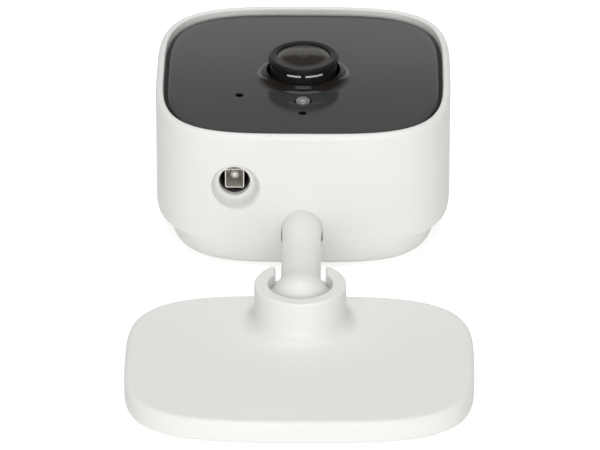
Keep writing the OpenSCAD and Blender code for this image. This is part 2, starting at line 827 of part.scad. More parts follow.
module dc_jack_contacts() {
    low = head_bottom + inlet_deep;
    pin_r = 0.95;
    pin_tip = 2.9;      // depth of the pin's round end behind the jack's face
    box_w = 3.8;
    box_front = 0.1;
    box_wall = 0.3;
    back = 7;
    color(steel) translate([-inlet_side, low, inlet_z]) {
        along_y() rod(pin_r, pin_tip, back);
        translate([0, pin_tip, 0]) sphere(r = pin_r, $fn = 32);
        translate([-box_w / 2, box_front, -box_w / 2]) difference() {
            cube([box_w, back - box_front, box_w]);
            translate([box_wall, -1, box_wall])
                cube([box_w - 2 * box_wall, back - box_front - box_wall + 1, box_w - 2 * box_wall]);
        }
    }
}

module card_socket() {
    color(steel) translate([0, card_y, 0]) difference() {
        translate([inner_w / 2 - 15.4, -7, board_z - 1.9]) cube([15, 14, 1.85]);
        translate([inner_w / 2 - 14, -6, card_z - 0.5]) cube([15, 12, 1]);
    }
}

module reset_button() {
    face = head_w / 2 - 0.5;
    color([0.8, 0.8, 0.8]) translate([0, button_y, button_z]) along_x() {
        rod(button_r, inner_w / 2 - 1, face);
        rod(button_r + 0.8, inner_w / 2 - 1.2, inner_w / 2 - 0.4);
    }
}

module reset_switch() {
    x1 = inner_w / 2 - 1.2;
    color([0.15, 0.15, 0.15]) translate([0, button_y, 0]) {
        translate([x1 - 4.6, -2.2, board_top]) cube([3.8, 4.4, 4.2]);
        translate([0, 0, button_z]) along_x() rod(0.8, x1 - 0.9, x1 - 0.5);
    }
}

base_shell();
bottom_cover();
weight_plate();
anti_slip_pad();
cover_screws();
retainer_plate();
retainer_screws();
spring_washer();
friction_cup();
ball();
ball_screw();
neck();
neck_screw();
rear_cover();
case_screws();
front_shell();
front_panel();
panel_tape();
lens_barrel();
front_lens();
inner_lenses();
lens_spacers();
lens_holder();
ir_cut_housing();
ir_filter_carrier();
ir_filter_glass();
ir_cut_coil();
image_sensor();
main_board();
board_screws();
led_board();
led_board_screws();
ir_leds();
light_sensor();
status_led();
light_pipe();
microphone();
mic_boot();
board_ribbon();
processor();
thermal_pad();
heat_spreader();
memory_chips();
wifi_module();
antenna();
antenna_cable();
speaker();
speaker_gasket();
speaker_lead();
dc_jack();
dc_jack_contacts();
card_socket();
reset_button();
reset_switch();
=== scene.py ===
import math

import bmesh
import bpy
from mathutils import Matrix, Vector


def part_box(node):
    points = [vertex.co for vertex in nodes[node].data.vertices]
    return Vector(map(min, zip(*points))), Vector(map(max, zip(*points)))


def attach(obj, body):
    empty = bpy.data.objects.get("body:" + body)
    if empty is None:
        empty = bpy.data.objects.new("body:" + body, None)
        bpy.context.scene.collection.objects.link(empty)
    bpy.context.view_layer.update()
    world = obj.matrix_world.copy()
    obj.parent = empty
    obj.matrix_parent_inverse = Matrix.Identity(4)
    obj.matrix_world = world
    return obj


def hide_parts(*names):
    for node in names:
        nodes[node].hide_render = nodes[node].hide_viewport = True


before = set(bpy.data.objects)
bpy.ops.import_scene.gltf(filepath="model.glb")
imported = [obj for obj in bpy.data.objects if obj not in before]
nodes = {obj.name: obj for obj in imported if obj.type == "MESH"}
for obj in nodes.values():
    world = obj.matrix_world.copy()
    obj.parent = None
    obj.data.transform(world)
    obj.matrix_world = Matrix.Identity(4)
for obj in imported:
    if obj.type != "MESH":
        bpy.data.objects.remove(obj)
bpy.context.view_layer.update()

mm = 0.001

# ---- Studio ----
# The camera stands on a plain white table, under a large soft lamp from the front and a
# paler one overhead, with a white card behind it, in a bright room.

shell_low, shell_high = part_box("front_shell")
base_low, base_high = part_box("base_shell")


def empty_tree(owner):
    """Clears the node tree of a material or a world and returns it."""
    owner.use_nodes = True
    owner.node_tree.nodes.clear()
    return owner.node_tree


def put(tree, kind, **values):
    """Adds a node and sets its properties and, by name, its inputs."""
    node = tree.nodes.new(kind)
    for name, value in values.items():
        if hasattr(node, name):
            setattr(node, name, value)
        else:
            node.inputs[name.replace("_", " ")].default_value = value
    return node


room = bpy.data.worlds.new("bright_room")
bpy.context.scene.world = room
tree = empty_tree(room)
glow = put(tree, "ShaderNodeBackground", Color=(1.0, 0.995, 0.985, 1))
around = put(tree, "ShaderNodeTexCoord")
parted = put(tree, "ShaderNodeSeparateXYZ")
sideways = put(tree, "ShaderNodeMath", operation="ABSOLUTE")
dimmed = put(tree, "ShaderNodeMapRange")
for label, value in (("From Min", 0.3), ("From Max", 0.9), ("To Min", 0.37), ("To Max", 0.28)):
    dimmed.inputs[label].default_value = value
sky = put(tree, "ShaderNodeOutputWorld")
tree.links.new(around.outputs["Generated"], parted.inputs[0])
tree.links.new(parted.outputs["X"], sideways.inputs[0])
tree.links.new(sideways.outputs[0], dimmed.inputs["Value"])
tree.links.new(dimmed.outputs[0], glow.inputs["Strength"])
tree.links.new(glow.outputs[0], sky.inputs["Surface"])

bpy.ops.object.select_all(action="DESELECT")
bpy.ops.mesh.primitive_plane_add(size=6, location=(0, 0, -0.1 * mm))
table = bpy.context.object
table.name = "white_table"
table_paper = bpy.data.materials.new("table_paper")
tree = empty_tree(table_paper)
place = put(tree, "ShaderNodeTexCoord")
fibres = put(tree, "ShaderNodeTexNoise", Scale=40.0, Detail=4.0)
tone = put(tree, "ShaderNodeValToRGB")
tone.color_ramp.elements[0].color = (0.74, 0.74, 0.735, 1)
tone.color_ramp.elements[1].color = (0.77, 0.77, 0.765, 1)
paper = put(tree, "ShaderNodeBsdfPrincipled", Roughness=0.9)
paper.inputs["Emission Color"].default_value = (1, 1, 1, 1)
seen = put(tree, "ShaderNodeLightPath")
shine = put(tree, "ShaderNodeMath", operation="MULTIPLY_ADD")
shine.inputs[1].default_value = 0.36
shine.inputs[2].default_value = 0.2
tree.links.new(seen.outputs["Is Camera Ray"], shine.inputs[0])
tree.links.new(shine.outputs[0], paper.inputs["Emission Strength"])
end = put(tree, "ShaderNodeOutputMaterial")
tree.links.new(place.outputs["Object"], fibres.inputs["Vector"])
tree.links.new(fibres.outputs["Fac"], tone.inputs[0])
tree.links.new(tone.outputs[0], paper.inputs["Base Color"])
tree.links.new(paper.outputs[0], end.inputs["Surface"])
table.data.materials.append(table_paper)


def softbox(name, spot, aim, width, height, watts, tint=(1, 1, 1)):
    """A rectangular lamp at spot, turned towards aim."""
    bpy.ops.object.light_add(type="AREA", location=spot)
    lamp = bpy.context.object
    lamp.name = name
    lamp.data.shape = "RECTANGLE"
    lamp.data.size, lamp.data.size_y = width, height
    lamp.data.energy = watts
    lamp.data.color = tint
    lamp.visible_camera = False
    lamp.rotation_mode = "QUATERNION"
    lamp.rotation_quaternion = (Vector(aim) - Vector(spot)).to_track_quat("-Z", "Y")


middle = Vector((0, (base_low.y + shell_high.y) / 2, 0.01))
softbox("front_lamp", (0.0, -1.0, 0.3), middle, 0.9, 0.6, 6.6, (1, 0.988, 0.97))
softbox("top_lamp", (0, 0.1, 1.0), middle, 0.7, 0.6, 4.45)
softbox("rear_card", (0, 0.62, 0.235), middle, 1.6, 0.11, 0.58)

# The view: a long lens a little over a metre away, looking 28 degrees down.
view_distance = 1.2
view_down = math.radians(27.9)
view_turn = math.radians(-0.62)
view_lens = 360.648
film_width = 36
view_forward = Vector((math.sin(view_turn) * math.cos(view_down),
                       math.cos(view_turn) * math.cos(view_down), -math.sin(view_down)))
view_target = Vector((-0.38 * mm, base_high.y + 19.14 * mm, 10 * mm))
bpy.ops.object.camera_add(location=view_target - view_forward * view_distance)
camera = bpy.context.object
camera.name = "view"
camera.data.sensor_width = film_width
camera.data.lens = view_lens
camera.data.clip_start, camera.data.clip_end = 0.1, 10
camera.rotation_mode = "QUATERNION"
camera.rotation_quaternion = view_forward.to_track_quat("-Z", "Y")
bpy.context.scene.camera = camera
bpy.context.scene.view_settings.view_transform = "Standard"

# ---- Base plate ----
# The flat moulding that the camera stands on: white plastic with a fine matt grain,
# a rounded-square plan, soft edges, and a round socket near its rear edge.

fine_grain = bpy.data.node_groups.new("fine_grain", "ShaderNodeTree")
for label, value in (("Grains per Metre", 3000.0), ("Patches per Metre", 60.0)):
    fine_grain.interface.new_socket(
        label, in_out="INPUT", socket_type="NodeSocketFloat").default_value = value
for label in ("Height", "Patches"):
    fine_grain.interface.new_socket(label, in_out="OUTPUT", socket_type="NodeSocketFloat")
enter = put(fine_grain, "NodeGroupInput")
leave = put(fine_grain, "NodeGroupOutput")
place = put(fine_grain, "ShaderNodeTexCoord")
for socket, size, result in (("Grains per Metre", 2.0, "Height"), ("Patches per Metre", 4.0, "Patches")):
    cloud = put(fine_grain, "ShaderNodeTexNoise", Detail=size)
    fine_grain.links.new(place.outputs["Object"], cloud.inputs["Vector"])
    fine_grain.links.new(enter.outputs[socket], cloud.inputs["Scale"])
    fine_grain.links.new(cloud.outputs["Fac"], leave.inputs[result])


def moulding(name, colour, shade, roughness, spread=0.05, grains=3000.0, relief=6e-6,
             patches=60.0, **sockets):
    """A moulded, cast or painted finish: a colour in faint patches over a fine grain."""
    material = bpy.data.materials.new(name)
    tree = empty_tree(material)
    grain = put(tree, "ShaderNodeGroup", node_tree=fine_grain)
    grain.inputs["Grains per Metre"].default_value = grains
    grain.inputs["Patches per Metre"].default_value = patches
    tone = put(tree, "ShaderNodeMix", data_type="RGBA")
    tone.inputs[6].default_value = (*colour, 1)
    tone.inputs[7].default_value = (*shade, 1)
    gloss = put(tree, "ShaderNodeMapRange")
    gloss.inputs["To Min"].default_value = roughness - spread
    gloss.inputs["To Max"].default_value = roughness + spread
    bump = put(tree, "ShaderNodeBump", Strength=1.0, Distance=relief)
    body = put(tree, "ShaderNodeBsdfPrincipled", **sockets)
    end = put(tree, "ShaderNodeOutputMaterial")
    tree.links.new(grain.outputs["Patches"], tone.inputs[0])
    tree.links.new(grain.outputs["Patches"], gloss.inputs["Value"])
    tree.links.new(grain.outputs["Height"], bump.inputs["Height"])
    tree.links.new(tone.outputs[2], body.inputs["Base Color"])
    tree.links.new(gloss.outputs[0], body.inputs["Roughness"])
    tree.links.new(bump.outputs[0], body.inputs["Normal"])
    tree.links.new(body.outputs[0], end.inputs["Surface"])
    return material


white_plastic = moulding("white_plastic", (0.83, 0.825, 0.81), (0.80, 0.795, 0.775), 0.46)


def begin(name, points, radius, centre, filled=False):
    """Starts a piece as a circle at its place, in edit mode."""
    bpy.ops.object.select_all(action="DESELECT")
    bpy.ops.mesh.primitive_circle_add(
        vertices=points, radius=radius, location=(0, 0, 0), fill_type="NGON" if filled else "NOTHING")
    piece = bpy.context.object
    piece.name = piece.data.name = name
    bpy.ops.object.mode_set(mode="EDIT")
    bpy.ops.transform.translate(value=centre)
    return piece


def add_circle(points, radius, centre, filled=False):
    """Adds a further circle to the piece in hand; it alone stays selected."""
    bpy.ops.mesh.select_all(action="DESELECT")
    bpy.ops.mesh.primitive_circle_add(
        vertices=points, radius=radius, location=centre, fill_type="NGON" if filled else "NOTHING")


def picked():
    """The selected vertices of the piece in hand."""
    return [v for v in bmesh.from_edit_mesh(bpy.context.object.data).verts if v.select]


def square_off(width, depth, squareness):
    """Draws the selected round loop out to a rounded square about its own middle."""
    loop = picked()
    x0 = sum(v.co.x for v in loop) / len(loop)
    y0 = sum(v.co.y for v in loop) / len(loop)
    for v in loop:
        size = math.hypot(v.co.x - x0, v.co.y - y0)
        c, s = (v.co.x - x0) / size, (v.co.y - y0) / size
        reach = (abs(2 * c / width) ** squareness + abs(2 * s / depth) ** squareness) ** (-1 / squareness)
        v.co.x, v.co.y = x0 + reach * c, y0 + reach * s
    bmesh.update_edit_mesh(bpy.context.object.data)


def draw_ring(width, depth, height, across=0.0):
    """Extrudes the selection, brings the new ring to a size and height, and moves it in y."""
    bpy.ops.mesh.extrude_region_move()
    loop = picked()
    xs, ys = [v.co.x for v in loop], [v.co.y for v in loop]
    centre = ((max(xs) + min(xs)) / 2, (max(ys) + min(ys)) / 2, loop[0].co.z)
    bpy.ops.transform.resize(
        value=(width / (max(xs) - min(xs)), depth / (max(ys) - min(ys)), 1), center_override=centre)
    bpy.ops.transform.translate(value=(0, across, height - centre[2]))


def quarter(out, up, steps=6):
    """A rounded edge from the wall round to the face, as (inset, rise) points."""
    return [(out * (1 - math.cos(math.pi / 2 * k / steps)), up * math.sin(math.pi / 2 * k / steps))
            for k in range(steps + 1)]


def pick_edges(test):
    """Selects the edges whose two ends both pass the test."""
    bpy.ops.mesh.select_mode(type="EDGE")
    bpy.ops.mesh.select_all(action="DESELECT")
    for edge in bmesh.from_edit_mesh(bpy.context.object.data).edges:
        if test(edge.verts[0].co) and test(edge.verts[1].co):
            edge.select_set(True)
    bmesh.update_edit_mesh(bpy.context.object.data)


def finish_mesh(piece, angle=35):
    """Closes the piece in hand, turns its faces outwards and smooths it."""
    bpy.ops.mesh.select_mode(type="VERT")
    bpy.ops.mesh.select_all(action="SELECT")
    bpy.ops.mesh.remove_doubles(threshold=1e-6)
    bpy.ops.mesh.normals_make_consistent(inside=False)
    bpy.ops.object.mode_set(mode="OBJECT")
    bpy.ops.object.shade_smooth_by_angle(angle=math.radians(angle))
    return piece


def fit(piece, body, slot, material, *stands_for):
    """Gives a finished piece its material, its body and the CAD nodes it stands for."""
    piece.data.materials.clear()
    piece.data.materials.append(material)
    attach(piece, body)
    if stands_for:
        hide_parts(*stands_for)


base_w = base_high.x - base_low.x
base_d = base_high.y - base_low.y
base_squareness = 3.6
plate_points = 192
plate_low = base_low.z
plate_top = 4.7 * mm
plate_roof = 3.3 * mm
plate_wall = 1.8 * mm
foot_edge, foot_rise = 0.35 * mm, 0.45 * mm
rim_edge, rim_rise = 1.1 * mm, 0.9 * mm
top_inset = 1.7 * mm
cup_low, cup_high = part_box("friction_cup")
socket_r = (cup_high.x - cup_low.x) / 2 + 0.05 * mm
ball_low, ball_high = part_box("ball")
ball_y = cup_low.y + (cup_high.x - cup_low.x) / 2
ball_z = (ball_low.z + ball_high.z) / 2

plate = begin("base_plate", plate_points, base_w / 2, (0, 0, plate_low))
square_off(base_w - 2 * foot_edge, base_d - 2 * foot_edge, base_squareness)
for inset, rise in quarter(foot_edge, foot_rise, 4)[-2::-1]:
    draw_ring(base_w - 2 * inset, base_d - 2 * inset, plate_low + foot_rise - rise)
for inset, rise in quarter(rim_edge, rim_rise, 8):
    draw_ring(base_w - 2 * inset, base_d - 2 * inset, plate_top - rim_rise + rise)
for inset in (1.25 * mm, top_inset):
    draw_ring(base_w - 2 * inset, base_d - 2 * inset, plate_top)
add_circle(plate_points, socket_r, (0, ball_y, plate_top))
draw_ring(2 * socket_r, 2 * socket_r, plate_roof)
add_circle(plate_points, base_w / 2, (0, 0, plate_roof))
square_off(base_w - 2 * plate_wall, base_d - 2 * plate_wall, base_squareness)
draw_ring(base_w - 2 * plate_wall, base_d - 2 * plate_wall, plate_low)


def outline_size(co, width, depth, squareness, middle_y=0.0):
    """Is 1 on the outline of a rounded square, less inside it and more outside."""
    return abs(2 * co.x / width) ** squareness + abs(2 * (co.y - middle_y) / depth) ** squareness


def on_outline(co, *outline):
    """Whether a point lies on the outline of such a rounded square."""
    return abs(outline_size(co, *outline) - 1) < 0.004


def on_circle(co, radius, middle_y):
    """Whether a point lies on an upright cylinder about the middle plane."""
    return abs(math.hypot(co.x, co.y - middle_y) - radius) < 0.01 * mm


# the open loops are joined in pairs: top with socket, roof with socket, wall with foot
for height, insets in ((plate_top, [top_inset]), (plate_roof, [plate_wall]),
                       (plate_low, [plate_wall, foot_edge])):
    pick_edges(lambda co: abs(co.z - height) < 1e-7 and (
        on_circle(co, socket_r, ball_y)
        or any(on_outline(co, base_w - 2 * inset, base_d - 2 * inset, base_squareness) for inset in insets)))
    bpy.ops.mesh.bridge_edge_loops()
finish_mesh(plate)
fit(plate, "base", "white_shell", white_plastic, "base_shell")

# ---- Collar ----
# The upright ring that holds the ball, moulded in one with the base plate: it runs out
# into the plate in a hollow curve, and it is open behind, where the folded neck lies.

collar_r = socket_r + 1.7 * mm
mouth_r = (ball_high.x - ball_low.x) / 2 + 0.4 * mm
collar_top = base_high.z
shoulder = ball_z + 1.8 * mm
sweep = 3 * mm
sweep_inset = 1.6 * mm
neck_low, neck_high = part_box("neck")
slot_half = (neck_high.x - neck_low.x) / 2 + 0.75 * mm
collar_points = 240
mouth_edge = 0.25 * mm
crown_edge = 0.45 * mm
horn_round = 0.9 * mm
horn_fall = 0.32

profile = [(socket_r, plate_roof), (socket_r, shoulder), (mouth_r, shoulder)]
profile += [(mouth_r + inset, collar_top - mouth_edge + rise)
            for inset, rise in quarter(mouth_edge, mouth_edge, 3)]
profile += [(mouth_r + 0.5 * mm, collar_top), (collar_r - 0.7 * mm, collar_top)]
profile += [(collar_r - inset, collar_top - crown_edge + rise)
            for inset, rise in quarter(crown_edge, crown_edge, 5)[::-1]]
profile += [(collar_r, (collar_top + plate_top + sweep) / 2)]
profile += [(collar_r + sweep - sweep * math.cos(math.pi / 2 * k / 10),
             plate_top + sweep - sweep * math.sin(math.pi / 2 * k / 10)) for k in range(11)]
profile += [(collar_r + sweep, plate_top - 0.1 * mm), (collar_r, plate_top - 0.6 * mm),
            (collar_r, plate_roof), (socket_r, plate_roof)]

collar = begin("base_collar", collar_points, profile[0][0], (0, ball_y, profile[0][1]))
for r, z in profile[1:]:
    draw_ring(2 * r, 2 * r, z)
bpy.ops.mesh.select_all(action="SELECT")
bpy.ops.mesh.remove_doubles(threshold=1e-7)

# The ring is opened behind: the faces over the slot go, and what is left is drawn up to
# the two flat sides of the slot.
gap_angle = 2 * math.pi / collar_points * 1.01
bpy.ops.mesh.select_mode(type="FACE")
bpy.ops.mesh.select_all(action="DESELECT")
for face in bmesh.from_edit_mesh(collar.data).faces:
    centre = face.calc_center_median()
    if abs(math.atan2(centre.x, centre.y - ball_y)) < gap_angle:
        face.select_set(True)
bmesh.update_edit_mesh(collar.data)
bpy.ops.mesh.delete(type="FACE")
bpy.ops.mesh.select_mode(type="VERT")
bpy.ops.mesh.select_all(action="SELECT")
edge_angle = min(abs(math.atan2(v.co.x, v.co.y - ball_y)) for v in picked())
for v in picked():
    r = math.hypot(v.co.x, v.co.y - ball_y)
    turn = math.atan2(v.co.x, v.co.y - ball_y)
    start = math.asin(slot_half / r)
    share = (abs(turn) - edge_angle) / (math.pi - edge_angle)
    turn = math.copysign(start + share * (math.pi - start), turn)
    v.co.x, v.co.y = r * math.sin(turn), ball_y + r * math.cos(turn)
    # the two ends of the ring are rounded over
    if v.co.y > ball_y and v.co.z > shoulder:
        fall = max(0, 1 - (abs(v.co.x) - slot_half) / horn_round)
        v.co.z -= (v.co.z - shoulder) * horn_fall * (1 - math.sqrt(max(0, 1 - fall * fall)))
    # the hollow curve stops short at the plate's own rounded edge
    if outline_size(v.co, base_w - 2 * sweep_inset, base_d - 2 * sweep_inset, base_squareness) > 1:
        across = abs(2 * v.co.x / (base_w - 2 * sweep_inset)) ** base_squareness
        v.co.y = min(v.co.y, (base_d / 2 - sweep_inset) * (1 - across) ** (1 / base_squareness))
bmesh.update_edit_mesh(collar.data)
for side in (-1, 1):
    pick_edges(lambda co: abs(co.x - side * slot_half) < 0.002 * mm and co.y > ball_y)
    bpy.ops.mesh.edge_face_add()
finish_mesh(collar)
fit(collar, "base", "white_shell", white_plastic, "base_shell")

# ---- Base's underside ----
# A screwed cover closes the plate from below, with a steel weight over it and a rubber
# ring set in its groove; two keyholes take wall screws. Four small screws hold it.

pale_plastic = moulding("pale_plastic", (0.72, 0.72, 0.7), (0.68, 0.68, 0.655), 0.5)
pad_rubber = moulding("pad_rubber", (0.035, 0.035, 0.037), (0.055, 0.055, 0.055), 0.75, 0.08, 2200.0,
                      1.4e-5)
zinc_steel = moulding("zinc_steel", (0.62, 0.63, 0.65), (0.5, 0.51, 0.54), 0.3, 0.08, 5000.0, 3e-6,
                      400.0, Metallic=1.0)


def dress(material, *names):
    """Puts a material on CAD nodes that are shown as they are."""
    for name in names:
        nodes[name].data.materials.clear()
        nodes[name].data.materials.append(material)


dress(pale_plastic, "bottom_cover", "friction_cup")
dress(pad_rubber, "anti_slip_pad")
dress(zinc_steel, "weight_plate", "cover_screws", "retainer_plate", "retainer_screws", "spring_washer")

# ---- Ball ----
# A smooth white plastic ball in the collar, with a flat where the neck stands on it, a
# bore for the neck's spigot and a recess for the screw that pulls the two together.

ball_r = (ball_high.x - ball_low.x) / 2
flat_s = ball_high.y - ball_y
spigot_r = 2.4 * mm
bore_floor = 1 * mm
recess_r = 2.05 * mm
recess_floor = -1.5 * mm
screw_hole_r = 1.05 * mm


def turned(name, profile, centre, points=96):
    """A ring of profile points (radius, height) turned about an upright axis at centre."""
    piece = begin(name, points, profile[0][0], (centre[0], centre[1], centre[2] + profile[0][1]))
    for r, z in profile[1:]:
        draw_ring(2 * r, 2 * r, centre[2] + z)
    return piece


def close_poles(centre):
    """Draws together the tiny end rings on the axis."""
    for v in bmesh.from_edit_mesh(bpy.context.object.data).verts:
        if math.hypot(v.co.x - centre[0], v.co.y - centre[1]) < 0.002 * mm:
            v.co.x, v.co.y = centre[0], centre[1]
    bmesh.update_edit_mesh(bpy.context.object.data)


def lay_back(centre):
    """Turns the piece in hand so that its axis runs towards the rear."""
    bpy.ops.mesh.select_all(action="SELECT")
    bpy.ops.transform.rotate(value=math.pi / 2, orient_axis="X", center_override=centre)


ball_centre = (0, ball_y, ball_z)
recess_edge = math.acos(recess_r / ball_r)
flat_edge = math.asin(flat_s / ball_r)
profile = [(screw_hole_r, bore_floor), (screw_hole_r, recess_floor), (recess_r, recess_floor)]
profile += [(ball_r * math.cos(a), ball_r * math.sin(a))
            for a in [-recess_edge + (recess_edge + flat_edge) * k / 48 for k in range(49)]]
profile += [(spigot_r + 0.05 * mm, flat_s), (spigot_r + 0.05 * mm, bore_floor),
            (screw_hole_r, bore_floor)]
ball = turned("ball_joint_ball", profile, ball_centre)
lay_back(ball_centre)
finish_mesh(ball)
glossy_white = moulding("glossy_white", (0.8, 0.795, 0.78), (0.785, 0.78, 0.765), 0.42, 0.04, 3000.0,
                        2e-6)
fit(ball, "ball", "white_shell", glossy_white, "ball")
dress(zinc_steel, "ball_screw")

# ---- Neck ----
# A short round white arm between ball and head; it swells a little where it enters the
# head, and a screw from inside the head holds it there.

neck_r = 3.9 * mm
neck_edge = 0.45 * mm
neck_end = neck_high.y - ball_y
root = shell_low.y - ball_y
root_r = 4.1 * mm
root_swell = 3 * mm
stub_r = 3 * mm
pilot_r = 0.95 * mm
pilot_floor = neck_end - 7 * mm
screw_hole_end = 8 * mm
spigot_end = 1.1 * mm
axis = 0.001
tiny = axis * mm
profile = [(tiny, screw_hole_end), (screw_hole_r, screw_hole_end), (screw_hole_r, spigot_end),
           (spigot_r, spigot_end), (spigot_r, flat_s + 0.05 * mm), (neck_r - neck_edge, flat_s + 0.05 * mm)]
profile += [(neck_r - inset, flat_s + 0.55 * mm - rise)
            for inset, rise in quarter(neck_edge, 0.5 * mm, 4)[-2::-1]]
profile += [(neck_r, 12 * mm), (neck_r, 20 * mm)]
profile += [(neck_r + (root_r - neck_r) * (k / 10) ** 3, root - root_swell + root_swell * k / 10)
            for k in range(11)]
profile += [(stub_r, root), (stub_r, neck_end), (pilot_r, neck_end), (pilot_r, pilot_floor),
            (tiny, pilot_floor)]
neck = turned("neck_arm", profile, ball_centre)
close_poles(ball_centre)
lay_back(ball_centre)
finish_mesh(neck)
fit(neck, "head", "white_shell", white_plastic, "neck")
dress(zinc_steel, "neck_screw")

# ---- Rear cover ----
# The tray that closes the head behind, of the same white plastic: a soft rounded back, a
# tongue round the neck's root, a grille of small holes for the speaker and four screws.

head_w = shell_high.x - shell_low.x
head_h = shell_high.y - shell_low.y
head_y = (shell_high.y + shell_low.y) / 2
head_squareness = 3.75
seam_z = shell_low.z
rear_w = head_w - 5.8 * mm
rear_h = head_h - 3.5 * mm
rear_y = head_y - 1.15 * mm
rear_round = 2.6 * mm
lip_w, lip_h = head_w - 4.3 * mm, head_h - 4.3 * mm
lip_top = seam_z + 2 * mm
floor_z = 1.8 * mm
rear_wall = 2 * mm
seam_gap = 0.12 * mm

rear = begin("head_rear_cover", 240, rear_w / 2, (0, rear_y, 0), filled=True)
square_off(rear_w - 2 * rear_round - 1.2 * mm, rear_h - 2 * rear_round - 1.2 * mm, head_squareness)
for inset, rise in quarter(rear_round, rear_round, 10)[::-1]:
    draw_ring(rear_w - 2 * inset, rear_h - 2 * inset, rear_round - rise)
draw_ring(rear_w, rear_h, seam_z - 0.25 * mm)
draw_ring(rear_w - 0.1 * mm, rear_h - 0.1 * mm, seam_z - seam_gap)
draw_ring(lip_w, lip_h, seam_z - seam_gap, across=head_y - rear_y)
draw_ring(lip_w, lip_h, lip_top)
draw_ring(rear_w - 2 * rear_wall, rear_h - 2 * rear_wall, lip_top, across=rear_y - head_y)
draw_ring(rear_w - 2 * rear_wall, rear_h - 2 * rear_wall, floor_z)
finish_mesh(rear)


def bar(name, radius, points, centre, depth, drop=0.0):
    """A solid round bar from centre towards the rear; drop draws its lower half down."""
    piece = begin(name, points, radius, centre, filled=True)
    draw_ring(2 * radius, 2 * radius, centre[2] + depth)
    lay_back(centre)
    for v in picked():
        if drop and v.co.z < centre[2] - 0.01 * mm:
            v.co.z -= drop
            if abs(v.co.x) > 0.01 * mm:
                v.co.x = math.copysign(radius, v.co.x)
    bmesh.update_edit_mesh(piece.data)
    return finish_mesh(piece, 30)


def merge_in(piece, tool, operation):
    """Joins a tool to a piece, or cuts it out, and removes the tool."""
    bpy.ops.object.select_all(action="DESELECT")
    piece.select_set(True)
    bpy.context.view_layer.objects.active = piece
    change = piece.modifiers.new("change", "BOOLEAN")
    change.object = tool
    change.operation = operation
    change.solver = "EXACT"
    bpy.ops.object.modifier_apply(modifier="change")
    bpy.data.objects.remove(tool)
    bpy.ops.object.shade_smooth_by_angle(angle=math.radians(30))


arch_r = root_r + 0.03 * mm
merge_in(rear, bar("tongue", arch_r - 0.02 * mm, 64, (0, shell_low.y + 0.1 * mm, ball_z), 3.1 * mm),
         "UNION")
merge_in(rear, bar("neck_hole", stub_r + 0.05 * mm, 48, (0, shell_low.y - 1 * mm, ball_z), 8 * mm),
         "DIFFERENCE")

speaker_y = head_y + 8 * mm
grille_pitch = 2.2 * mm
grille_hole_r = 0.55 * mm
grille_rows = 3
hole_places = []
for row in range(-grille_rows, grille_rows + 1):
    for step in range(-grille_rows, grille_rows + 1):
        x = (step + abs(row) % 2 / 2) * grille_pitch
        y = row * grille_pitch * math.sin(math.radians(60))
        if math.hypot(x, y) < (grille_rows + 0.2) * grille_pitch:
            hole_places.append((x, speaker_y + y))
holes = begin("holes", 16, grille_hole_r, (*hole_places[0], -1 * mm), filled=True)
for place in hole_places[1:]:
    add_circle(16, grille_hole_r, (*place, -1 * mm), filled=True)
bpy.ops.mesh.select_all(action="SELECT")
bpy.ops.mesh.extrude_region_move(TRANSFORM_OT_translate={"value": (0, 0, 4 * mm)})
finish_mesh(holes)
merge_in(rear, holes, "DIFFERENCE")



def in_mm(points):
    """Turns pairs given in millimetres into metres."""
    return [(r * mm, s * mm) for r, s in points]


# each case screw sits in a round well with a chamfered mouth
screw_spots = ((17.55, 17.65), (21.3, -12))
well_profile = in_mm([(0.9, 2.5), (2.1, 2.5), (2.1, 0.15), (2.4, -0.2), (2.4, -1)])
for place in [(side * x * mm, head_y + y * mm) for side in (-1, 1) for x, y in screw_spots]:
    well = turned("well", well_profile, (*place, 0), 32)
    pick_edges(lambda co: co.z > 2.49 * mm and math.hypot(co.x - place[0], co.y - place[1]) < 1 * mm)
    bpy.ops.mesh.edge_face_add()
    pick_edges(lambda co: co.z < -0.9 * mm)
    bpy.ops.mesh.edge_face_add()
    finish_mesh(well)
    merge_in(rear, well, "DIFFERENCE")
fit(rear, "head", "white_shell", white_plastic, "rear_cover")
dress(zinc_steel, "case_screws")

# ---- Front shell ----
# The head's white casing: four soft walls and a thin rim round the front, moulded in one,
# with a notch for the rear cover's tongue, a dished power inlet, a card slot and a button.

rim_w = 1.5 * mm
rim_round, rim_height = 0.95 * mm, 1.2 * mm
lip_round = 0.45 * mm
seam_edge, seam_rise = 0.3 * mm, 0.4 * mm
ledge_w = 4 * mm
shell_wall = 2 * mm
ledge_z = shell_high.z - 2.7 * mm
ledge_under = ledge_z - 1.2 * mm
shell = begin("head_front_shell", 240, head_w / 2, (0, head_y, seam_z))
square_off(head_w - 2 * seam_edge, head_h - 2 * seam_edge, head_squareness)
for inset, rise in quarter(seam_edge, seam_rise, 4)[-2::-1]:
    draw_ring(head_w - 2 * inset, head_h - 2 * inset, seam_z + seam_rise - rise)
for inset, rise in quarter(rim_round, rim_height, 10):
    draw_ring(head_w - 2 * inset, head_h - 2 * inset, shell_high.z - rim_height + rise)
for inset, rise in quarter(lip_round, lip_round, 6)[::-1]:
    draw_ring(head_w - 2 * (rim_w - inset), head_h - 2 * (rim_w - inset), shell_high.z - lip_round + rise)
for inset, height in ((rim_w, ledge_z), (ledge_w, ledge_z), (ledge_w, ledge_under),
                      (shell_wall, ledge_under), (shell_wall, seam_z), (seam_edge, seam_z)):
    draw_ring(head_w - 2 * inset, head_h - 2 * inset, height)
finish_mesh(shell)

